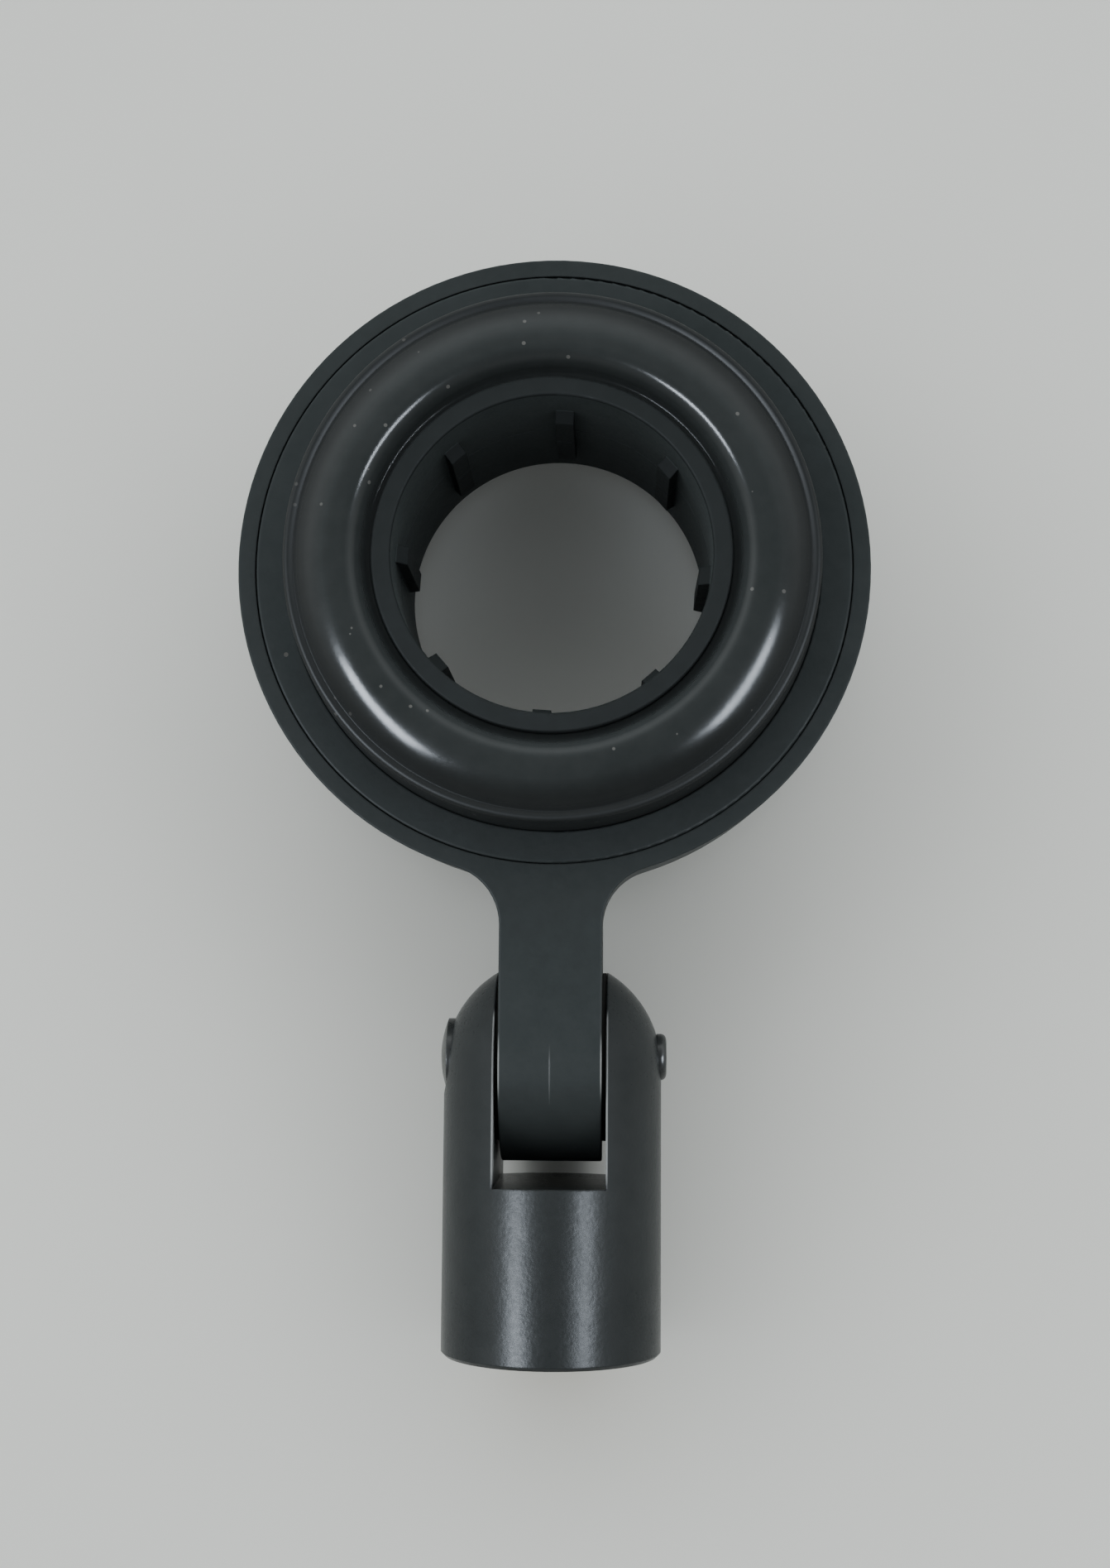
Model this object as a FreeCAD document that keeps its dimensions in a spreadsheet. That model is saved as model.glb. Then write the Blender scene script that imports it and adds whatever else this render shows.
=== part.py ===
import FreeCAD, Part

"""A shock-isolating swivel holder for a hand microphone.

A ring carrier holds two soft rubber rolls, and the rolls suspend a gripping sleeve of two
ribbed halves. The carrier's arm ends in a round tongue, riveted in the slot of a round stand
adapter with a threaded socket. Millimetres. The origin is the centre of the socket's mouth,
+Y runs from the socket to the ring and +Z is the way the ring's face looks.
"""

import math
import os

import Sketcher

# Driving dimensions. Each is a cell of the sheet "Dims", and its alias is the name here.
DIMENSIONS = {
    # stand adapter
    "stand_radius": 12.0,
    "dome_centre": 31.0,
    "mouth_chamfer": 0.4,
    "ear_edge_round": 0.12,
    "slot_half_width": 5.95,
    "slot_end": 18.45,
    "socket_radius": 9.32,
    "socket_depth": 15.0,
    # threaded liner: the bore is the minor diameter of a 5/8 inch, 27 turns an inch thread
    "insert_radius": 9.3,
    "thread_minor_radius": 7.43,
    # pivot
    "pivot_centre": 32.1,
    "shank_radius": 1.9,
    "ear_hole_radius": 1.92,
    "tongue_hole_radius": 1.96,
    "head_radius": 4.12,
    "head_seat": 10.7,
    "head_height": 1.65,
    "head_rim": 0.85,
    "head_seat_radius": 4.35,
    "clinch_radius": 2.55,
    "clinch_seat": 11.5,
    "clinch_height": 1.05,
    "clinch_bore_radius": 1.3,
    "clinch_seat_radius": 2.75,
    "washer_radius": 9.2,
    "washer_hole_radius": 2.0,
    "washer_gap": 0.02,
    # carrier, with the ring's wall a little narrower at its foot
    "tongue_half_width": 5.48,
    "tongue_radius": 11.4,
    "ring_centre": 85.0,
    "ring_radius": 34.3,
    "ring_foot_radius": 33.8,
    "ring_wall_inner": 32.42,
    "ring_top": 11.4,
    "ring_thickness": 14.4,
    "carrier_edge_round": 0.18,
    "neck_round": 6.4,
    "arm_overlap": 0.8,
    "web_inner": 27.6,
    "web_thickness": 3.0,
    # retaining rings
    "retainer_outer": 32.36,
    "retainer_inner": 28.9,
    "retainer_height": 4.1,
    "retainer_outer_round": 0.3,
    "retainer_inner_round": 0.15,
    # rubber rolls: radii out from the ring's axis, heights above the ring's middle plane
    "flange_outer": 32.2,
    "roll_wall": 28.7,
    "roll_wall_inner": 27.65,
    "roll_lip": 28.3,
    "roll_lip_height": 13.7,
    "roll_valley": 27.3,
    "roll_valley_height": 13.2,
    "roll_crest": 22.4,
    "roll_crest_height": 15.0,
    "roll_slope_radius": 7.4,
    "roll_shoulder": 20.15,
    "roll_shoulder_height": 12.75,
    "roll_shoulder_radius": 2.3,
    "roll_skin": 1.2,
    "bead_inner": 18.25,
    "bead_gap": 0.05,
    # sleeve: two halves that meet at the ring's middle plane, widening slightly towards it
    "sleeve_outer": 19.15,
    "sleeve_mouth": 17.05,
    "sleeve_inner": 17.25,
    "sleeve_half_length": 13.4,
    "sleeve_edge": 0.3,
    "sleeve_seam": 0.12,
    "collar_shoulder": 6.0,
    "bead_height": 1.5,
    "spigot_outer": 18.1,
    "spacer_inner": 18.12,
    "spacer_outer": 19.9,
    # ribs: their lead-in starts at rib_start and they stand full below rib_full
    "rib_inner": 15.8,
    "rib_half_width": 1.0,
    "rib_start": 7.9,
    "rib_full": 6.8,
    "rib_count": 8,
    "rib_phase": -4.0,
}

SHEET = "Dims"
MIDDLE = "<ring_top> - <ring_thickness> / 2"  # height of the ring's middle plane
CLEAR = 2.0  # how far a cutting shape runs past the solid it cuts
NEAR = 0.01  # how far apart two places may be and still count as one
ROOT = 0.1  # how far a rib's root reaches into the wall it stands on

doc = FreeCAD.newDocument("swivel_holder")
sheet = doc.addObject("Spreadsheet::Sheet", SHEET)
for row, (alias, size) in enumerate(DIMENSIONS.items(), start=1):
    sheet.set(f"A{row}", alias.replace("_", " "))
    sheet.set(f"B{row}", str(size))
    sheet.setAlias(f"B{row}", alias)
doc.recompute()


def named(text):
    """The expression text with each of the sheet's names written as a reference to its cell."""
    for alias in sorted(DIMENSIONS, key=len, reverse=True):
        marker = f"<{alias}>"
        text = text.replace(marker, f"{SHEET}.{alias}")
    return text


def worth(text):
    """What an expression comes to now, in millimetres."""
    value = sheet.evalExpression(named(text))
    return float(getattr(value, "Value", value))


def new_body(label, y=None, z=None):
    """A body with a Label of its own, moved to the place that the expressions give."""
    body = doc.addObject("PartDesign::Body", label)
    body.Label = label
    for axis, place in (("y", y), ("z", z)):
        if place is not None:
            body.setExpression(f"Placement.Base.{axis}", named(place))
    return body


def new_sketch(body, name, plane, offset=None):
    """A sketch on one of the body's own origin planes, or parallel to it at an offset."""
    sketch = body.newObject("Sketcher::SketchObject", f"{body.Label}_{name}")
    roles = {feature.Role: feature for feature in body.Origin.OriginFeatures}
    sketch.AttachmentSupport = [(roles[f"{plane}_Plane"], "")]
    sketch.MapMode = "FlatFace"
    if offset is not None:
        sketch.setExpression("AttachmentOffset.Base.z", named(offset))
    return sketch


def bind(sketch, kind, *where, to):
    """Adds a dimension to the sketch and binds it to an expression."""
    index = sketch.addConstraint(Sketcher.Constraint(kind, *where, worth(to)))
    sketch.setExpression(f"Constraints[{index}]", named(to))


def outline(sketch, corners):
    """A closed outline through corners (x, y) or (x, y, radius), each an expression.

    A corner with a radius is reached by an arc from the corner before it: a positive
    radius turns left on the way, a negative one right. Any other corner is reached by a line.
    """
    places = [FreeCAD.Vector(worth(c[0]), worth(c[1]), 0) for c in corners]
    sides = []
    for i, corner in enumerate(corners):
        start, end = places[i - 1], places[i]
        if len(corner) == 2:
            sides.append((sketch.addGeometry(Part.LineSegment(start, end)), 1, 2))
            continue
        radius = worth(corner[2])
        chord = end - start
        left = FreeCAD.Vector(-chord.y, chord.x, 0).normalize()
        rise = math.sqrt(max(radius**2 - chord.Length**2 / 4, 0))
        middle = (start + end) * 0.5
        centre = middle + left * math.copysign(rise, radius)
        top = centre - left * math.copysign(abs(radius), radius)
        arc = Part.Arc(start, top, end)
        # a sketch keeps each arc counter-clockwise, so one that turns right is stored reversed
        ends = (1, 2) if radius > 0 else (2, 1)
        side = sketch.addGeometry(arc)
        sides.append((side, *ends))
    for i, (side, _, end) in enumerate(sides):
        after, start, _ = sides[(i + 1) % len(sides)]
        sketch.addConstraint(Sketcher.Constraint("Coincident", side, end, after, start))
    for (side, _, end), corner in zip(sides, corners):
        bind(sketch, "DistanceX", -1, 1, side, end, to=corner[0])
        bind(sketch, "DistanceY", -1, 1, side, end, to=corner[1])
        if len(corner) == 3:
            bind(sketch, "Radius", side, to=f"abs({corner[2]})")


def circle(sketch, x, y, radius):
    """A circle with its centre and radius bound to expressions."""
    centre = FreeCAD.Vector(worth(x), worth(y), 0)
    side = sketch.addGeometry(Part.Circle(centre, FreeCAD.Vector(0, 0, 1), worth(radius)))
    for kind, place in (("DistanceX", x), ("DistanceY", y)):
        bind(sketch, kind, -1, 1, side, 3, to=place)
    bind(sketch, "Radius", side, to=radius)


def revolve(body, name, plane, axis, corners):
    """The outline turned once round the sketch's H_Axis or V_Axis."""
    sketch = new_sketch(body, name, plane)
    outline(sketch, corners)
    turned = body.newObject("PartDesign::Revolution", f"{body.Label}_{name}_turned")
    turned.Profile = sketch
    turned.ReferenceAxis = (sketch, [axis])
    turned.Angle = 360
    doc.recompute()
    return turned


def extrude(body, name, kind, sketch, length, symmetric=True, reverse=False):
    """A Pad or Pocket of the sketch, to both sides of it or to one."""
    feature = body.newObject(f"PartDesign::{kind}", f"{body.Label}_{name}")
    feature.Profile = sketch
    if symmetric:
        feature.SideType = "Symmetric"
    feature.Reversed = reverse
    feature.setExpression("Length", named(length))
    doc.recompute()
    return feature


def cut(body, name, sketch, length, **sides):
    """A Pocket that has to take something away."""
    before = body.Shape.Volume
    feature = extrude(body, name, "Pocket", sketch, length, **sides)
    if body.Shape.Volume > before - NEAR:
        raise RuntimeError(f"{body.Label}: {name} takes nothing away")
    return feature


def dress(body, name, kind, size, chosen):
    """A Fillet or Chamfer of the edges that chosen() picks from the body as it stands."""
    base = body.Tip
    edges = [f"Edge{i}" for i, e in enumerate(base.Shape.Edges, start=1) if chosen(e)]
    if not edges:
        raise RuntimeError(f"{body.Label}: {name} finds no edge")
    feature = body.newObject(f"PartDesign::{kind}", f"{body.Label}_{name}")
    feature.Base = (base, edges)
    feature.setExpression("Radius" if kind == "Fillet" else "Size", named(size))
    doc.recompute()
    return feature


def spans(edge, **limits):
    """Whether an edge's bounding box keeps to the limits, each a low and a high value."""
    box = edge.BoundBox
    ends = {"x": (box.XMin, box.XMax), "y": (box.YMin, box.YMax), "z": (box.ZMin, box.ZMax)}
    return all(low <= ends[a][0] and ends[a][1] <= high for a, (low, high) in limits.items())


def make_stand_body():
    """Round adapter with a domed top, split into two ears by a slot right through it."""
    body = new_body("stand_body")
    radius, dome = "<stand_radius>", "<dome_centre>"
    revolve(body, "adapter", "XY", "V_Axis", [
        ("<socket_radius>", "0"),
        (f"{radius} - <mouth_chamfer>", "0"),
        (radius, "<mouth_chamfer>"),
        (radius, dome),
        ("0", f"{dome} + {radius}", radius),
        ("0", "<socket_depth>"),
        ("<socket_radius>", "<socket_depth>"),
    ])
    sketch = new_sketch(body, "slot", "XY")
    past_dome = f"{dome} + {radius} + {CLEAR}"
    outline(sketch, [
        ("-<slot_half_width>", "<slot_end>"),
        ("<slot_half_width>", "<slot_end>"),
        ("<slot_half_width>", past_dome),
        ("-<slot_half_width>", past_dome),
    ])
    cut(body, "slot_cut", sketch, f"2 * ({radius} + {CLEAR})")
    side = worth("<slot_half_width>") + NEAR
    above = worth("<slot_end>") - NEAR
    dress(body, "ear_rounds", "Fillet", "<ear_edge_round>", lambda edge: (
        spans(edge, x=(-side, side), y=(above, math.inf))
        and edge.BoundBox.YLength > NEAR
    ))
    sketch = new_sketch(body, "rivet_hole", "YZ")
    circle(sketch, "<pivot_centre>", "0", "<ear_hole_radius>")
    cut(body, "rivet_hole_cut", sketch, f"2 * ({radius} + {CLEAR})")
    for name, seat, seat_radius, reverse in (
        ("head_seat", "-<head_seat>", "<head_seat_radius>", False),
        ("clinch_seat", "<clinch_seat>", "<clinch_seat_radius>", True),
    ):
        sketch = new_sketch(body, name, "YZ", offset=seat)
        circle(sketch, "<pivot_centre>", "0", seat_radius)
        cut(body, f"{name}_cut", sketch, f"{CLEAR}", symmetric=False, reverse=reverse)
    return body


def make_thread_insert():
    """Liner of the stand socket. Its plain bore is the thread's minor diameter."""
    body = new_body("thread_insert")
    revolve(body, "liner", "XY", "V_Axis", [
        ("<thread_minor_radius>", "0"),
        ("<insert_radius>", "0"),
        ("<insert_radius>", "<socket_depth>"),
        ("<thread_minor_radius>", "<socket_depth>"),
    ])
    return body


def make_pivot_rivet():
    """Semi-tubular rivet: a low domed head at -X and a rolled hollow end at +X."""
    body = new_body("pivot_rivet", y="<pivot_centre>")
    rise = "(<head_height> - <head_rim>)"
    dome_radius = f"(<head_radius> ^ 2 + {rise} ^ 2) / (2 * {rise})"
    clinch_end = "<clinch_seat> + <clinch_height>"
    roll = "(<clinch_radius> - <clinch_bore_radius>) / 2"
    drill_point = "<clinch_bore_radius> / 2"
    revolve(body, "rivet", "XY", "H_Axis", [
        ("-<head_seat> - <head_height>", "0"),
        ("-<head_seat> - <head_rim>", "<head_radius>", f"-{dome_radius}"),
        ("-<head_seat>", "<head_radius>"),
        ("-<head_seat>", "<shank_radius>"),
        ("<clinch_seat>", "<shank_radius>"),
        ("<clinch_seat>", "<clinch_radius>"),
        (f"{clinch_end} - {roll}", "<clinch_radius>"),
        (clinch_end, "(<clinch_radius> + <clinch_bore_radius>) / 2", f"-{roll}"),
        (f"{clinch_end} - {roll}", "<clinch_bore_radius>", f"-{roll}"),
        (f"<tongue_half_width> + {drill_point}", "<clinch_bore_radius>"),
        ("<tongue_half_width>", "0"),
    ])
    return body


def make_friction_washer(label, side):
    """Flat washer that fills the gap between the tongue and one ear. side is -1 or 1."""
    body = new_body(label, y="<pivot_centre>")
    start = "<tongue_half_width> + <washer_gap>"
    thickness = "<slot_half_width> - <tongue_half_width> - 2 * <washer_gap>"
    sketch = new_sketch(body, "disc", "YZ", offset=f"{side} * ({start})")
    circle(sketch, "0", "0", "<washer_radius>")
    circle(sketch, "0", "0", "<washer_hole_radius>")
    extrude(body, "washer", "Pad", sketch, thickness, symmetric=False, reverse=side < 0)
    return body


def make_ring_carrier():
    """Ring, arm and round tongue in one moulding."""
    body = new_body("ring_carrier", y="<ring_centre>")
    top = "<ring_top>"
    foot = "(<ring_top> - <ring_thickness>)"
    web_top = f"{MIDDLE} + <web_thickness> / 2"
    web_foot = f"{MIDDLE} - <web_thickness> / 2"
    revolve(body, "ring", "XZ", "V_Axis", [
        ("<ring_wall_inner>", foot),
        ("<ring_foot_radius>", foot),
        ("<ring_radius>", top),
        ("<ring_wall_inner>", top),
        ("<ring_wall_inner>", web_top),
        ("<web_inner>", web_top),
        ("<web_inner>", web_foot),
        ("<ring_wall_inner>", web_foot),
    ])
    # the arm seen from the side: flush with the ring's face, and round about the pivot
    eye = "<tongue_radius>"
    pivot = "(<pivot_centre> - <ring_centre>)"
    root = "(-<ring_wall_inner> - <arm_overlap>)"
    reach = f"({root} - {pivot})"
    touch = f"(atan2({foot}; {reach}) - acos({eye} / hypot({foot}; {reach})))"
    side = new_sketch(body, "arm", "YZ")
    outline(side, [
        (root, foot),
        (root, top),
        (pivot, eye),
        (f"{pivot} - {eye}", "0", eye),
        (f"{pivot} + cos({touch}) * {eye}", f"sin({touch}) * {eye}", eye),
    ])
    extrude(body, "arm_pad", "Pad", side, "2 * <tongue_half_width>")
    height = worth("<ring_thickness>") - NEAR
    slant = worth("<ring_radius> - <ring_foot_radius>") + NEAR
    dress(body, "neck_rounds", "Fillet", "<neck_round>", lambda edge: (
        spans(edge, y=(-math.inf, worth(root)))
        and edge.BoundBox.XLength < NEAR
        and edge.BoundBox.YLength < slant
        and edge.BoundBox.ZLength > height
    ))

    def rim_at(height):
        """Picks the ring's outer arcs at one height; a fillet follows on along the arm."""
        def is_rim(edge):
            middle = edge.valueAt((edge.FirstParameter + edge.LastParameter) / 2)
            return (
                isinstance(edge.Curve, Part.Circle)
                and spans(edge, z=(height - NEAR, height + NEAR))
                and math.hypot(middle.x, middle.y) > worth("<ring_wall_inner>") + NEAR
            )
        return is_rim

    dress(body, "rim_rounds", "Fillet", "<carrier_edge_round>", rim_at(worth(top)))
    dress(body, "foot_bevel", "Chamfer", "<carrier_edge_round>", rim_at(worth(foot)))
    sketch = new_sketch(body, "pivot_hole", "YZ")
    circle(sketch, pivot, "0", "<tongue_hole_radius>")
    cut(body, "pivot_hole_cut", sketch, "4 * <tongue_half_width>")
    return body


def make_retaining_ring(label, side):
    """Flat ring that clamps a roll's flange, flush with one face of the carrier."""
    body = new_body(label, y="<ring_centre>", z=MIDDLE)
    face = f"{side} * <ring_thickness> / 2"
    back = f"{side} * (<ring_thickness> / 2 - <retainer_height>)"
    outer_round, inner_round = "<retainer_outer_round>", "<retainer_inner_round>"
    revolve(body, "ring", "XZ", "V_Axis", [
        ("<retainer_inner>", back),
        ("<retainer_outer>", back),
        ("<retainer_outer>", f"{face} - {side} * {outer_round}"),
        (f"<retainer_outer> - {outer_round}", face, f"{side} * {outer_round}"),
        (f"<retainer_inner> + {inner_round}", face),
        ("<retainer_inner>", f"{face} - {side} * {inner_round}", f"{side} * {inner_round}"),
    ])
    return body


def make_isolator(label, side):
    """Rubber roll: a flange under the retaining ring, a wall, a roll and a bead on the sleeve."""
    body = new_body(label, y="<ring_centre>", z=MIDDLE)

    def at(height):
        return f"{side} * ({height})"

    skin = "<roll_skin>"
    flange_foot = "<web_thickness> / 2"
    flange_top = "<ring_thickness> / 2 - <retainer_height>"
    bead_top = "<collar_shoulder> - <bead_gap>"
    bead_foot = "<collar_shoulder> - <bead_height> + <bead_gap>"
    revolve(body, "roll", "XZ", "V_Axis", [
        ("<flange_outer>", at(flange_foot)),
        ("<flange_outer>", at(flange_top)),
        ("<roll_wall>", at(flange_top)),
        ("<roll_lip>", at("<roll_lip_height>")),
        ("<roll_valley>", at("<roll_valley_height>")),
        ("<roll_crest>", at("<roll_crest_height>"), at("<roll_slope_radius>")),
        ("<roll_shoulder>", at("<roll_shoulder_height>"), at("<roll_shoulder_radius>")),
        ("<roll_shoulder>", at(bead_top)),
        ("<bead_inner>", at(bead_top)),
        ("<bead_inner>", at(bead_foot)),
        (f"<roll_shoulder> + {skin}", at(bead_foot)),
        (f"<roll_shoulder> + {skin}", at("<roll_shoulder_height>")),
        ("<roll_crest>", at(f"<roll_crest_height> - {skin}"),
         at(f"{skin} - <roll_shoulder_radius>")),
        ("<roll_wall_inner>", at(f"<roll_valley_height> - {skin}"),
         at(f"{skin} - <roll_slope_radius>")),
        ("<roll_wall_inner>", at(flange_foot)),
    ])
    return body


def make_sleeve_half(label, side, mouth=()):
    """Half of the sleeve: a collar, a spigot and ribs that bear on the handle.

    mouth holds the corner where a plain band at the mouth ends, in a half that has one.
    """
    body = new_body(label, y="<ring_centre>", z=MIDDLE)
    body.setExpression("Placement.Rotation.Angle", named("<rib_phase>"))
    top = "<sleeve_half_length>"

    def at(height):
        return f"{side} * ({height})"

    revolve(body, "collar", "XZ", "V_Axis", [
        ("<sleeve_inner> + <sleeve_seam>", "0"),
        ("<spigot_outer>", "0"),
        ("<spigot_outer>", at("<collar_shoulder>")),
        ("<sleeve_outer>", at("<collar_shoulder>")),
        ("<sleeve_outer>", at(f"{top} - <sleeve_edge>")),
        ("<sleeve_outer> - <sleeve_edge>", at(top), at("<sleeve_edge>")),
        ("<sleeve_mouth> + <sleeve_edge>", at(top)),
        ("<sleeve_mouth>", at(f"{top} - <sleeve_edge>"), at("<sleeve_edge>")),
        *mouth,
        ("<sleeve_inner>", at("<sleeve_seam>")),
    ])
    sketch = new_sketch(body, "rib", "XZ")
    outline(sketch, [
        ("<rib_inner>", at("<sleeve_seam>")),
        (f"<sleeve_inner> + {ROOT}", at("<sleeve_seam>")),
        (f"<sleeve_inner> + {ROOT}", at("<rib_start>")),
        ("<sleeve_mouth>", at("<rib_start>")),
        ("<rib_inner>", at("<rib_full>")),
    ])
    rib = extrude(body, "rib_pad", "Pad", sketch, "2 * <rib_half_width>")
    ribs = body.newObject("PartDesign::PolarPattern", f"{label}_ribs")
    ribs.Originals = [rib]
    ribs.Axis = (sketch, ["V_Axis"])
    ribs.Angle = 360
    ribs.setExpression("Occurrences", named("<rib_count>"))
    body.Tip = ribs
    doc.recompute()
    return body


def make_sleeve_spacer():
    """Plain ring on the spigots that joins the halves and keeps the two inner beads apart."""
    body = new_body("sleeve_spacer", y="<ring_centre>", z=MIDDLE)
    half = "(<collar_shoulder> - <bead_height>)"
    revolve(body, "ring", "XZ", "V_Axis", [
        ("<spacer_inner>", f"-{half}"),
        ("<spacer_outer>", f"-{half}"),
        ("<spacer_outer>", half),
        ("<spacer_inner>", half),
    ])
    return body


pieces = [
    make_stand_body(),
    make_thread_insert(),
    make_pivot_rivet(),
    make_friction_washer("friction_washer_left", -1),
    make_friction_washer("friction_washer_right", 1),
    make_ring_carrier(),
    make_retaining_ring("retaining_ring_top", 1),
    make_retaining_ring("retaining_ring_bottom", -1),
    make_isolator("isolator_top", 1),
    make_isolator("isolator_bottom", -1),
    make_sleeve_half("sleeve_upper", 1, mouth=[("<sleeve_mouth>", "<rib_start>")]),
    make_sleeve_half("sleeve_lower", -1),
    make_sleeve_spacer(),
]
doc.recompute()

failed = [o.Name for o in doc.Objects if {"Invalid", "Error"} & set(o.State)]
if failed:
    raise RuntimeError(f"these objects did not build: {failed}")
for piece in pieces:
    shape = piece.Shape
    if shape.isNull() or not shape.isValid() or len(shape.Solids) != 1:
        raise RuntimeError(f"{piece.Label} is not one valid solid")

os.makedirs("parts", exist_ok=True)
for piece in pieces:
    piece.Shape.exportStep(f"parts/{piece.Label}.step")
    box = piece.Shape.optimalBoundingBox(False)
    print(f"{piece.Label:24} {piece.Shape.Volume:9.1f} mm3  "
          f"x {box.XMin:7.2f} {box.XMax:7.2f}  y {box.YMin:7.2f} {box.YMax:7.2f}  "
          f"z {box.ZMin:7.2f} {box.ZMax:7.2f}")
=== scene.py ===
"""The shock-isolating microphone holder, lying face up on a pale floor under soft studio light."""

import math

import bpy
import numpy as np
from mathutils import Matrix, Vector


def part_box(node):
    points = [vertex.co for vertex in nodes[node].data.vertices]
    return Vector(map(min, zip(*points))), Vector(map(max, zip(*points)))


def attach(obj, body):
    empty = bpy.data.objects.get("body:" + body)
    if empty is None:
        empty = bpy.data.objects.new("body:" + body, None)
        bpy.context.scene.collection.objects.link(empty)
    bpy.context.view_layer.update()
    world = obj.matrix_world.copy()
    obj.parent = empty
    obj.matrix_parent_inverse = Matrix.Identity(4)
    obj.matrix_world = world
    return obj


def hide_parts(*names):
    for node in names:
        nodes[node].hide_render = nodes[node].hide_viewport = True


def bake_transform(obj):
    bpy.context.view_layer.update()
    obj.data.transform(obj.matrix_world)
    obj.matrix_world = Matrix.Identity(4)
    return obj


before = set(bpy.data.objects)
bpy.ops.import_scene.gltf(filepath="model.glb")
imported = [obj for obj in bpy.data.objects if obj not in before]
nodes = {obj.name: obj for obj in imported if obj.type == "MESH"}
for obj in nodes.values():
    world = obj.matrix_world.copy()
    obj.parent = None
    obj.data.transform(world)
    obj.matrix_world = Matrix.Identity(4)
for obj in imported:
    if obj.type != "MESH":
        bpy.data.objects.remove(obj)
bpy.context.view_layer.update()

MM = 0.001


# ---------------------------------------------------------------- places, from the CAD frame

def middle(node):
    """The middle of a CAD node's box."""
    low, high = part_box(node)
    return (low + high) / 2


RING_LOW, RING_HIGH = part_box("retaining_ring_top")
RING_AXIS = Vector(((RING_LOW.x + RING_HIGH.x) / 2, (RING_LOW.y + RING_HIGH.y) / 2, 0))
RING_MIDDLE_Z = (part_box("retaining_ring_bottom")[0].z + RING_HIGH.z) / 2
RING_CENTRE = Vector((RING_AXIS.x, RING_AXIS.y, RING_MIDDLE_Z))
PIVOT = middle("friction_washer_left")
PIVOT.x = 0.0
FLOOR_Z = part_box("stand_body")[0].z


# ---------------------------------------------------------------- mesh helpers

def mesh_object(name, points, faces, smooth=True):
    """A mesh object in the row frame, from points in metres."""
    mesh = bpy.data.meshes.new(name)
    mesh.from_pydata([tuple(p) for p in points], [], faces)
    mesh.update()
    if smooth:
        mesh.polygons.foreach_set("use_smooth", [True] * len(mesh.polygons))
    obj = bpy.data.objects.new(name, mesh)
    bpy.context.scene.collection.objects.link(obj)
    return obj


def arc(start, end, radius, steps):
    """Points after start up to end along an arc. A positive radius turns left on the way."""
    start, end = np.array(start, float), np.array(end, float)
    chord = end - start
    length = np.hypot(*chord)
    left = np.array((-chord[1], chord[0])) / length
    rise = math.sqrt(max(radius * radius - length * length / 4, 0.0))
    centre = (start + end) / 2 + left * math.copysign(rise, radius)
    first = math.atan2(*(start - centre)[::-1])
    sweep = 2 * math.asin(min(1.0, length / 2 / abs(radius)))
    turn = math.copysign(sweep, radius)
    angles = first + turn * np.arange(1, steps + 1) / steps
    return [centre + abs(radius) * np.array((math.cos(a), math.sin(a))) for a in angles]


def rounded(corners, steps):
    """Corners (x, y, round) as an outline, each rounded off by its own radius."""
    out = []
    count = len(corners)
    for i, (x, y, size) in enumerate(corners):
        here = np.array((x, y), float)
        if size <= 0:
            out.append(here)
            continue
        before = np.array(corners[i - 1][:2], float) - here
        after = np.array(corners[(i + 1) % count][:2], float) - here
        a, b = before / np.hypot(*before), after / np.hypot(*after)
        half = math.acos(max(-1.0, min(1.0, float(a @ b)))) / 2
        reach = size / math.tan(half)
        start, end = here + a * reach, here + b * reach
        cross = a[0] * b[1] - a[1] * b[0]
        out.append(start)
        out.extend(arc(start, end, -math.copysign(size, cross), steps))
    return out


def lathe(name, outline, centre, sides):
    """An outline of (radius, height) in millimetres, turned about the Z line through centre."""
    outline = np.array(outline, float) * MM
    count = len(outline)
    points, faces = [], []
    for j in range(sides):
        angle = 2 * math.pi * j / sides
        for radius, height in outline:
            points.append((
                centre.x + radius * math.cos(angle),
                centre.y + radius * math.sin(angle),
                centre.z + height,
            ))
    for j in range(sides):
        here, after = j * count, (j + 1) % sides * count
        for i in range(count):
            k = (i + 1) % count
            faces.append((here + i, after + i, after + k, here + k))
    obj = mesh_object(name, points, faces)
    face_outwards(obj)
    return obj


def face_outwards(obj):
    """Turns a closed mesh's faces so that its volume is positive."""
    mesh = obj.data
    co = np.array([v.co for v in mesh.vertices])
    mesh.calc_loop_triangles()
    tri = np.array([t.vertices for t in mesh.loop_triangles])
    a, b, c = co[tri[:, 0]], co[tri[:, 1]], co[tri[:, 2]]
    if np.einsum("ij,ij->i", a, np.cross(b, c)).sum() < 0:
        mesh.flip_normals()


# ---------------------------------------------------------------- materials

def new_material(name):
    """A material with one Principled shader: the material, its node tree and the shader."""
    material = bpy.data.materials.new(name)
    material.use_nodes = True
    tree = material.node_tree
    tree.nodes.clear()
    shader = tree.nodes.new("ShaderNodeBsdfPrincipled")
    out = tree.nodes.new("ShaderNodeOutputMaterial")
    tree.links.new(shader.outputs["BSDF"], out.inputs["Surface"])
    return material, tree, shader


def noise(tree, where, scale, detail=4.0, roughness=0.55):
    """A noise value over position, with scale in turns a metre."""
    node = tree.nodes.new("ShaderNodeTexNoise")
    node.inputs["Scale"].default_value = scale
    node.inputs["Detail"].default_value = detail
    node.inputs["Roughness"].default_value = roughness
    tree.links.new(where, node.inputs["Vector"])
    return node.outputs["Fac"]


def spread(tree, value, low, high, start=0.3, end=0.7):
    """Maps a value from start..end to low..high, and holds it at both ends."""
    node = tree.nodes.new("ShaderNodeMapRange")
    for socket, number in (("From Min", start), ("From Max", end), ("To Min", low), ("To Max", high)):
        node.inputs[socket].default_value = number
    tree.links.new(value, node.inputs["Value"])
    return node.outputs["Result"]


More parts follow.
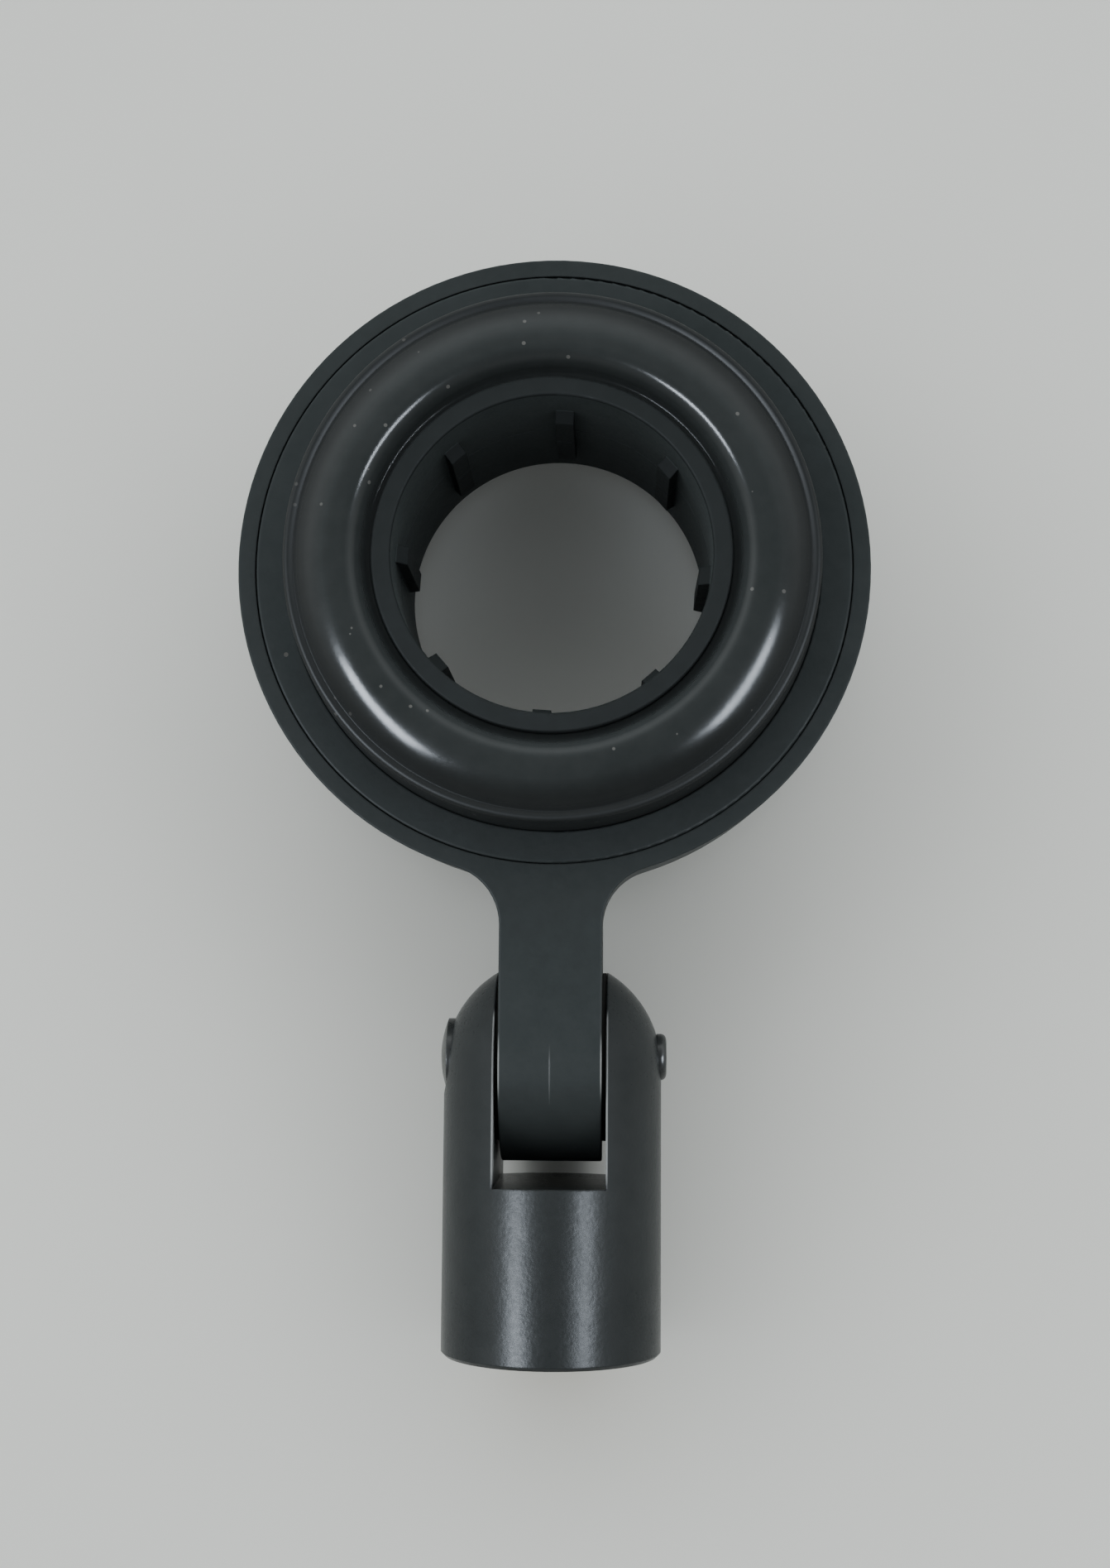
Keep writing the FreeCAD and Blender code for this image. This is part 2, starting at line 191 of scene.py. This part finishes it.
def math_node(tree, operation, a, b=0.0):
    """A Math node on one or two values, each a socket or a number."""
    node = tree.nodes.new("ShaderNodeMath")
    node.operation = operation
    for socket, value in zip(node.inputs, (a, b)):
        if isinstance(value, (int, float)):
            socket.default_value = value
        else:
            tree.links.new(value, socket)
    return node.outputs["Value"]


def colour_mix(tree, share, first, second):
    """A colour between two fixed colours."""
    node = tree.nodes.new("ShaderNodeMix")
    node.data_type = "RGBA"
    node.inputs["A"].default_value = (*first, 1)
    node.inputs["B"].default_value = (*second, 1)
    tree.links.new(share, node.inputs["Factor"])
    return node.outputs["Result"]


def bump(tree, height, distance, under=None):
    """A Bump of a height value, over another bump where one is given."""
    node = tree.nodes.new("ShaderNodeBump")
    node.inputs["Distance"].default_value = distance
    tree.links.new(height, node.inputs["Height"])
    if under is not None:
        tree.links.new(under, node.inputs["Normal"])
    return node.outputs["Normal"]


MOTTLE_SCALE = 60.0
EDGE_ROUND = 0.2 * MM


def moulded(name, dark, light, rough, grain_scale, grain_depth, specular):
    """Moulded black plastic or rubber: fine grain, slow mottling, uneven gloss and soft edges."""
    material, tree, shader = new_material(name)
    where = tree.nodes.new("ShaderNodeTexCoord").outputs["Object"]
    slow = noise(tree, where, MOTTLE_SCALE, detail=3.0)
    fine = noise(tree, where, grain_scale, detail=6.0, roughness=0.6)
    coarse = noise(tree, where, grain_scale / 5, detail=3.0)
    blotch = math_node(tree, "ADD", spread(tree, slow, 0.0, 0.55), spread(tree, coarse, 0.0, 0.45))
    tree.links.new(colour_mix(tree, blotch, dark, light), shader.inputs["Base Color"])
    uneven = math_node(tree, "ADD", spread(tree, slow, -0.03, 0.03), spread(tree, fine, *rough))
    tree.links.new(uneven, shader.inputs["Roughness"])
    soft_edge = tree.nodes.new("ShaderNodeBevel")
    soft_edge.samples = 4
    soft_edge.inputs["Radius"].default_value = EDGE_ROUND
    first = bump(tree, fine, grain_depth * MM, under=soft_edge.outputs["Normal"])
    second = bump(tree, coarse, grain_depth * 2.0 * MM, under=first)
    tree.links.new(second, shader.inputs["Normal"])
    shader.inputs["Specular IOR Level"].default_value = specular
    return material


def between(tree, value, low, high, soft):
    """1 where a value lies between low and high, 0 elsewhere, with soft ends."""
    rise = spread(tree, value, 0.0, 1.0, low - soft, low + soft)
    fall = spread(tree, value, 1.0, 0.0, high - soft, high + soft)
    return math_node(tree, "MULTIPLY", rise, fall)


def from_axis(tree, where, low, high, start, end):
    """A value that goes from low to high as the distance from the ring's axis goes from start to end."""
    level = tree.nodes.new("ShaderNodeVectorMath")
    level.operation = "MULTIPLY"
    level.inputs[1].default_value = (1, 1, 0)
    tree.links.new(where, level.inputs[0])
    reach = tree.nodes.new("ShaderNodeVectorMath")
    reach.operation = "DISTANCE"
    reach.inputs[1].default_value = (RING_AXIS.x, RING_AXIS.y, 0)
    tree.links.new(level.outputs["Vector"], reach.inputs[0])
    return spread(tree, reach.outputs["Value"], low, high, start, end)


def surface(material):
    """A moulded material's node tree, its shader and its place in the frame."""
    tree = material.node_tree
    shader = next(n for n in tree.nodes if n.type == "BSDF_PRINCIPLED")
    where = next(n for n in tree.nodes if n.type == "TEX_COORD").outputs["Object"]
    return tree, shader, where


def scale_colour(tree, shader, factor):
    """Multiplies a shader's colour by a value."""
    colour = shader.inputs["Base Color"]
    scaled = tree.nodes.new("ShaderNodeVectorMath")
    scaled.operation = "SCALE"
    tree.links.new(colour.links[0].from_socket, scaled.inputs[0])
    tree.links.new(factor, scaled.inputs["Scale"])
    tree.links.new(scaled.outputs["Vector"], colour)


def lay_over(tree, shader, share, colour):
    """Mixes a fixed colour over a shader's own."""
    base = shader.inputs["Base Color"]
    mixer = tree.nodes.new("ShaderNodeMix")
    mixer.data_type = "RGBA"
    tree.links.new(base.links[0].from_socket, mixer.inputs["A"])
    mixer.inputs["B"].default_value = (*colour, 1)
    tree.links.new(share, mixer.inputs["Factor"])
    tree.links.new(mixer.outputs["Result"], base)


def shade_beyond(material, start, end, outside):
    """Paints shade: scales a material's colour down to outside as the radius goes from start to end."""
    tree, shader, where = surface(material)
    scale_colour(tree, shader, from_axis(tree, where, 1.0, outside, start, end))


def paint_bore_light(material, radii, seam, reach, scale):
    """Paints light on a bore's wall: between two radii, and within reach of the seam's height."""
    tree, shader, where = surface(material)
    low, high = radii
    soft = 0.05 * MM
    axes = tree.nodes.new("ShaderNodeSeparateXYZ")
    tree.links.new(where, axes.inputs["Vector"])
    away = math_node(tree, "ABSOLUTE", math_node(tree, "SUBTRACT", axes.outputs["Z"], seam))
    tall = spread(tree, away, 1.0, 0.0, reach - 2 * soft, reach)
    past_low = from_axis(tree, where, 0.0, 1.0, low - soft, low)
    before_high = from_axis(tree, where, 1.0, 0.0, high, high + soft)
    wide = math_node(tree, "MULTIPLY", past_low, before_high)
    more = math_node(tree, "MULTIPLY", math_node(tree, "MULTIPLY", tall, wide), scale - 1.0)
    scale_colour(tree, shader, math_node(tree, "ADD", more, 1.0))


def dull_beyond(material, start, end, extra_rough):
    """Makes a material rougher as the radius goes from start to end."""
    tree, shader, where = surface(material)
    rough = shader.inputs["Roughness"]
    more = from_axis(tree, where, 0.0, extra_rough, start, end)
    tree.links.new(math_node(tree, "ADD", rough.links[0].from_socket, more), rough)


def fine_mark(material, spans, colour, height=0.0):
    """Lays a colour where every span holds: (axis, low, high, soft), in metres; |X| is a distance."""
    tree, shader, where = surface(material)
    axes = tree.nodes.new("ShaderNodeSeparateXYZ")
    tree.links.new(where, axes.inputs["Vector"])
    share = None
    for axis, low, high, soft in spans:
        value = axes.outputs[axis.strip("|")]
        if axis.startswith("|"):
            value = math_node(tree, "ABSOLUTE", value)
        part = between(tree, value, low, high, soft)
        share = part if share is None else math_node(tree, "MULTIPLY", share, part)
    lay_over(tree, shader, share, colour)
    if height:
        before = shader.inputs["Normal"].links[0].from_socket
        tree.links.new(bump(tree, share, height, under=before), shader.inputs["Normal"])


SPECK_SIZE = 0.13


def wear_dust(material, amount, scale, colour):
    """Adds a scatter of tiny pale dust specks to a moulded material's colour."""
    tree, shader, where = surface(material)
    cells = tree.nodes.new("ShaderNodeTexVoronoi")
    cells.inputs["Scale"].default_value = scale
    cells.inputs["Randomness"].default_value = 1.0
    tree.links.new(where, cells.inputs["Vector"])
    near = math_node(tree, "LESS_THAN", cells.outputs["Distance"], SPECK_SIZE)
    picked = tree.nodes.new("ShaderNodeSeparateColor")
    tree.links.new(cells.outputs["Color"], picked.inputs["Color"])
    few = math_node(tree, "LESS_THAN", picked.outputs["Red"], amount)
    speck = math_node(tree, "MULTIPLY", near, few)
    lay_over(tree, shader, speck, colour)


def metal(name, colour, rough, scale):
    """Worn machined metal with fine scratches and dull patches."""
    material, tree, shader = new_material(name)
    where = tree.nodes.new("ShaderNodeTexCoord").outputs["Object"]
    slow = noise(tree, where, scale)
    fine = noise(tree, where, scale * 12, detail=5.0)
    darker = tuple(c * 0.7 for c in colour)
    patches = colour_mix(tree, spread(tree, slow, 0.0, 1.0), darker, colour)
    tree.links.new(patches, shader.inputs["Base Color"])
    tree.links.new(spread(tree, fine, *rough), shader.inputs["Roughness"])
    tree.links.new(bump(tree, fine, 0.008 * MM), shader.inputs["Normal"])
    shader.inputs["Metallic"].default_value = 1.0
    return material


CARRIER = moulded("carrier_plastic", (0.0286, 0.0338, 0.0343), (0.0365, 0.0424, 0.0431),
                  (0.40, 0.50), 2600.0, 0.010, specular=0.07)
RETAINER = moulded("retainer_plastic", (0.0298, 0.0353, 0.0361), (0.0381, 0.0445, 0.0456),
                   (0.38, 0.48), 2600.0, 0.010, specular=0.07)
BODY = moulded("body_plastic", (0.0245, 0.0276, 0.0284), (0.0330, 0.0364, 0.0374),
               (0.27, 0.33), 2200.0, 0.020, specular=0.09)
RUBBER = moulded("roll_rubber", (0.0279, 0.0316, 0.0322), (0.0363, 0.0405, 0.0413),
                 (0.15, 0.19), 3000.0, 0.003, specular=0.12)
SLEEVE = moulded("sleeve_plastic", (0.0152, 0.0181, 0.0184), (0.0204, 0.0237, 0.0242),
                 (0.50, 0.62), 2600.0, 0.010, specular=0.06)
FIBRE = moulded("washer_fibre", (0.0150, 0.0150, 0.0142), (0.0220, 0.0215, 0.0205),
                (0.75, 0.90), 1800.0, 0.020, specular=0.20)
RIVET = moulded("rivet_coat", (0.0250, 0.0275, 0.0275), (0.0330, 0.0360, 0.0360),
                (0.26, 0.34), 2200.0, 0.006, specular=0.34)
BRASS = metal("liner_brass", (0.62, 0.47, 0.25), (0.28, 0.42), 160.0)
wear_dust(RUBBER, 0.20, 620.0, (0.12, 0.12, 0.115))
wear_dust(RETAINER, 0.04, 520.0, (0.10, 0.10, 0.095))

# The roll dulls at its edge, and painted shade darkens its colour down its outer slope.
dull_beyond(RUBBER, 26.6 * MM, 27.4 * MM, extra_rough=0.26)
shade_beyond(RUBBER, 24.2 * MM, 26.2 * MM, outside=0.48)

# Painted light on the wall of the sleeve's bore, without its ribs and the rim of its mouth.
SLEEVE_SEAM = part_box("sleeve_upper")[0].z
SLEEVE_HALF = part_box("sleeve_upper")[1].z - SLEEVE_SEAM
BORE_WALL = (17.0 * MM, 17.32 * MM)
MOUTH_RIM = 0.3 * MM
paint_bore_light(SLEEVE, BORE_WALL, SLEEVE_SEAM, SLEEVE_HALF - MOUTH_RIM, scale=2.6)

# The mould's parting line on the tongue, a raised ridge with a painted highlight along it, and painted
# highlights along the edges of the tongue and the slot.
PARTING_RIDGE_AND_HIGHLIGHT = [
    ("X", -0.05 * MM, 0.05 * MM, 0.05 * MM),
    ("Y", PIVOT.y - 4.0 * MM, PIVOT.y + 0.5 * MM, 1.0 * MM),
    ("Z", 5.5 * MM, 20.0 * MM, 0.5 * MM),
]
fine_mark(CARRIER, PARTING_RIDGE_AND_HIGHLIGHT, (0.095, 0.102, 0.102), height=0.03 * MM)
TONGUE_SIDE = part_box("friction_washer_right")[0].x
# Painted highlight along the tongue's side edges.
TONGUE_EDGE_HIGHLIGHT = [
    ("|X", TONGUE_SIDE - 0.16 * MM, TONGUE_SIDE + 0.05 * MM, 0.04 * MM),
    ("Y", PIVOT.y - 3.5 * MM, PIVOT.y + 1.5 * MM, 1.2 * MM),
    ("Z", 10.5 * MM, 20.0 * MM, 0.3 * MM),
]
fine_mark(CARRIER, TONGUE_EDGE_HIGHLIGHT, (0.30, 0.31, 0.31))
SLOT_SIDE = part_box("friction_washer_right")[1].x
# Painted highlight along the edges of the slot.
SLOT_EDGE_HIGHLIGHT = [
    ("|X", SLOT_SIDE - 0.01 * MM, SLOT_SIDE + 0.22 * MM, 0.04 * MM),
    ("Y", 19.4 * MM, PIVOT.y + 5.0 * MM, 0.9 * MM),
    ("Z", 8.5 * MM, 20.0 * MM, 0.3 * MM),
]
fine_mark(BODY, SLOT_EDGE_HIGHLIGHT, (0.26, 0.27, 0.27))

# Painted shade on the slot's end face, which is painted nearly black.
SLOT_END = 18.45 * MM
SLOT_END_SHADE = [
    ("|X", -1.0 * MM, SLOT_SIDE + 0.1 * MM, 0.05 * MM),
    ("Y", SLOT_END - 0.07 * MM, SLOT_END + 0.45 * MM, 0.03 * MM),
    ("Z", FLOOR_Z, 10.6 * MM, 0.1 * MM),
]
fine_mark(BODY, SLOT_END_SHADE, (0.006, 0.007, 0.007))


NODE_MATERIALS = {
    "stand_body": BODY,
    "pivot_rivet": RIVET,
    "friction_washer_left": FIBRE,
    "friction_washer_right": FIBRE,
    "ring_carrier": CARRIER,
    "retaining_ring_top": RETAINER,
    "retaining_ring_bottom": RETAINER,
    "sleeve_upper": SLEEVE,
    "sleeve_lower": SLEEVE,
    "sleeve_spacer": SLEEVE,
}


def paint(obj, material):
    """Puts one material in all the object's slots."""
    if not obj.material_slots:
        obj.data.materials.append(material)
    for place in obj.material_slots:
        place.material = material


for node, material in NODE_MATERIALS.items():
    paint(nodes[node], material)


# ---------------------------------------------------------------- rubber rolls

def roll_outline(side):
    """Section of a rubber roll, side 1 up and -1 down.

    Points are (radius, height from the ring's middle plane), in millimetres.
    """
    skin = 1.2
    flange, flange_low, flange_high = 32.2, 1.5, 3.1
    wall, wall_inside = 28.86, 27.65
    lip, lip_high = 27.86, 13.30
    crest, crest_high, slope_round = 22.40, 15.00, 7.6
    shoulder = 20.15
    collar = 19.19
    bead, bead_low = 18.25, 4.56

    # outside: clamped flange, wall, lip, crease, crest, and down to the bead round the sleeve
    outer = rounded([
        (flange, flange_low, 0.3), (flange, flange_high, 0.3),
        (wall, flange_high, 0), (wall, 7.3, 0),
    ], 4)
    outer += [(28.74, 9.6), (28.60, 11.6), (28.50, 12.85)]
    outer += arc(outer[-1], (lip, lip_high), 0.55, 10)
    outer += [(27.46, 13.14)]
    outer += arc(outer[-1], (27.36, 13.14), -0.06, 3)
    outer += arc(outer[-1], (crest, crest_high), slope_round, 18)
    outer += arc(outer[-1], (shoulder, 12.95), 2.15, 16)
    outer += arc(outer[-1], (collar, 12.35), -0.85, 8)
    outer += [(collar, 5.95), (18.7, 5.94), (bead, 5.80), (bead, 4.70), (18.4, bead_low)]

    # inside: about a skin's thickness away
    inner = [(shoulder + skin, bead_low), (shoulder + skin, 12.75)]
    inner += arc(inner[-1], (crest, crest_high - skin), skin - 2.3, 8)
    inner += arc(inner[-1], (27.00, 12.10), skin - slope_round, 8)
    inner += [(27.50, 11.6), (wall_inside, flange_high), (wall_inside, flange_low)]
    return [(float(r), float(z) * side) for r, z in outer + inner]


def make_roll(name, side, node):
    """A rubber roll that reaches from the carrier to the sleeve, in place of the CAD node."""
    obj = lathe(name, roll_outline(side), RING_CENTRE, sides=256)
    paint(obj, RUBBER)
    still_from, moving_from = 28.0 * MM, 21.4 * MM
    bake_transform(obj)
    co = np.array([v.co for v in obj.data.vertices])
    radius = np.hypot(co[:, 0] - RING_CENTRE.x, co[:, 1] - RING_CENTRE.y)
    share = np.clip((still_from - radius) / (still_from - moving_from), 0, 1)
    share = share * share * (3 - 2 * share)
    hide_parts(node)


make_roll("rubber_roll_top", 1, "isolator_top")
make_roll("rubber_roll_bottom", -1, "isolator_bottom")


# ---------------------------------------------------------------- threaded liner

def make_thread():
    """The socket's liner with the turns of a 5/8 inch, 27 turns an inch thread."""
    low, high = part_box("thread_insert")
    outer, length = high.x, high.y - low.y
    pitch = 25.4 / 27 * MM
    minor = 7.43 * MM
    depth = 0.5 * MM
    lead_in = 0.55 * MM
    chamfer = 0.25 * MM
    flank, root_flat = 1.3, 0.12
    sides, per_pitch = 96, 8
    rows = int(length / pitch * per_pitch)
    points, faces = [], []
    for row in range(rows + 1):
        y = low.y + length * row / rows
        for j in range(sides):
            angle = 2 * math.pi * j / sides
            turn = (y - low.y) / pitch - j / sides
            crest = abs((turn % 1.0) - 0.5) * 2
            radius = minor + depth * min(1.0, max(0.0, (1 - crest) * flank - root_flat))
            radius = max(radius, minor + max(0.0, lead_in - (y - low.y)))
            points.append((radius * math.cos(angle), y, radius * math.sin(angle)))
    shell = len(points)
    for y, radius in ((high.y, outer), (low.y + chamfer, outer), (low.y, outer - chamfer)):
        for j in range(sides):
            angle = 2 * math.pi * j / sides
            points.append((radius * math.cos(angle), y, radius * math.sin(angle)))
    rings = [row * sides for row in range(rows + 1)] + [shell, shell + sides, shell + 2 * sides]
    for i, start in enumerate(rings):
        after = rings[(i + 1) % len(rings)]
        for j in range(sides):
            k = (j + 1) % sides
            faces.append((start + j, start + k, after + k, after + j))
    obj = mesh_object("thread_liner", points, faces)
    face_outwards(obj)
    paint(obj, BRASS)
    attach(obj, "stand")
    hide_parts("thread_insert")


make_thread()


# ---------------------------------------------------------------- floor, light and camera

def make_floor():
    """A plain pale floor just under the stand adapter."""
    size = 3.0
    z = FLOOR_Z - 0.05 * MM
    corners = [(-size, -size, z), (size, -size, z), (size, size, z), (-size, size, z)]
    floor = mesh_object("floor", corners, [(0, 1, 2, 3)], smooth=False)
    material, tree, shader = new_material("floor_pale")
    where = tree.nodes.new("ShaderNodeTexCoord").outputs["Object"]
    slow = noise(tree, where, 9.0, detail=3.0)
    cloudy = colour_mix(tree, spread(tree, slow, 0.0, 1.0), (0.86, 0.86, 0.82), (0.91, 0.91, 0.87))
    tree.links.new(cloudy, shader.inputs["Base Color"])
    shader.inputs["Roughness"].default_value = 0.7
    shader.inputs["Specular IOR Level"].default_value = 0.0
    paint(floor, material)


LAMP_DISTANCE = 0.9
LAMP_LENGTH = 0.34


def strip_lamp(name, azimuth, zenith, width, power):
    """A cool strip lamp that shows in gloss only. Its long side runs across its direction.

    The sky lights the floor and everything matt, so the strips make no patches in the hole.
    """
    lamp = bpy.data.lights.new(name, "AREA")
    lamp.shape = "RECTANGLE"
    lamp.size, lamp.size_y = LAMP_LENGTH, width
    lamp.energy = power
    lamp.color = (0.82, 0.90, 1.0)
    obj = bpy.data.objects.new(name, lamp)
    bpy.context.scene.collection.objects.link(obj)
    a, t = math.radians(azimuth), math.radians(zenith)
    away = Vector((math.sin(t) * math.cos(a), math.sin(t) * math.sin(a), math.cos(t)))
    target = Vector((0, 0.06, 0))
    obj.location = target + away * LAMP_DISTANCE
    obj.rotation_euler = away.to_track_quat("Z", "Y").to_euler()
    obj.visible_diffuse = False


def make_world():
    """A room: dim overhead, at the horizon and on the socket's side, a little brighter to the left."""
    world = bpy.data.worlds.new("room")
    world.use_nodes = True
    tree = world.node_tree
    ground = tree.nodes["Background"]
    ground.inputs["Color"].default_value = (0.96, 1.0, 1.01, 1)
    way = tree.nodes.new("ShaderNodeSeparateXYZ")
    tree.links.new(tree.nodes.new("ShaderNodeTexCoord").outputs["Generated"], way.inputs["Vector"])
    low = spread(tree, way.outputs["Z"], 0.28, 1.0, 0.05, 0.55)
    overhead = spread(tree, way.outputs["Z"], 3.1, 0.34, 0.50, 0.88)
    by_height = math_node(tree, "MULTIPLY", low, overhead)
    across = spread(tree, way.outputs["X"], 1.15, 0.85, -0.8, 0.8)
    along = spread(tree, way.outputs["Y"], 0.32, 1.05, -0.6, 0.3)
    by_side = math_node(tree, "MULTIPLY", across, along)
    tree.links.new(math_node(tree, "MULTIPLY", by_height, by_side), ground.inputs["Strength"])
    bpy.context.scene.world = world


def make_camera():
    """Looks almost straight down, a little towards the ring."""
    camera = bpy.data.cameras.new("camera")
    camera.lens = 45.92
    camera.sensor_width = 36.0
    camera.clip_start = 0.01
    obj = bpy.data.objects.new("camera", camera)
    bpy.context.scene.collection.objects.link(obj)
    dome_centre = Vector((0, PIVOT.y - 1.1 * MM, 0))
    place = dome_centre + Vector((7.0, 5.74, 223.63)) * MM
    turn = (
        Matrix.Rotation(math.radians(6.564), 4, "X")
        @ Matrix.Rotation(math.radians(1.776), 4, "Y")
        @ Matrix.Rotation(math.radians(0.211), 4, "Z")
    )
    obj.matrix_world = Matrix.Translation(place) @ turn
    bpy.context.scene.camera = obj


make_floor()
strip_lamp("lamp_right", azimuth=-17, zenith=37.5, width=0.15, power=13.5)
strip_lamp("lamp_left", azimuth=204, zenith=37, width=0.16, power=18.5)
make_world()
make_camera()
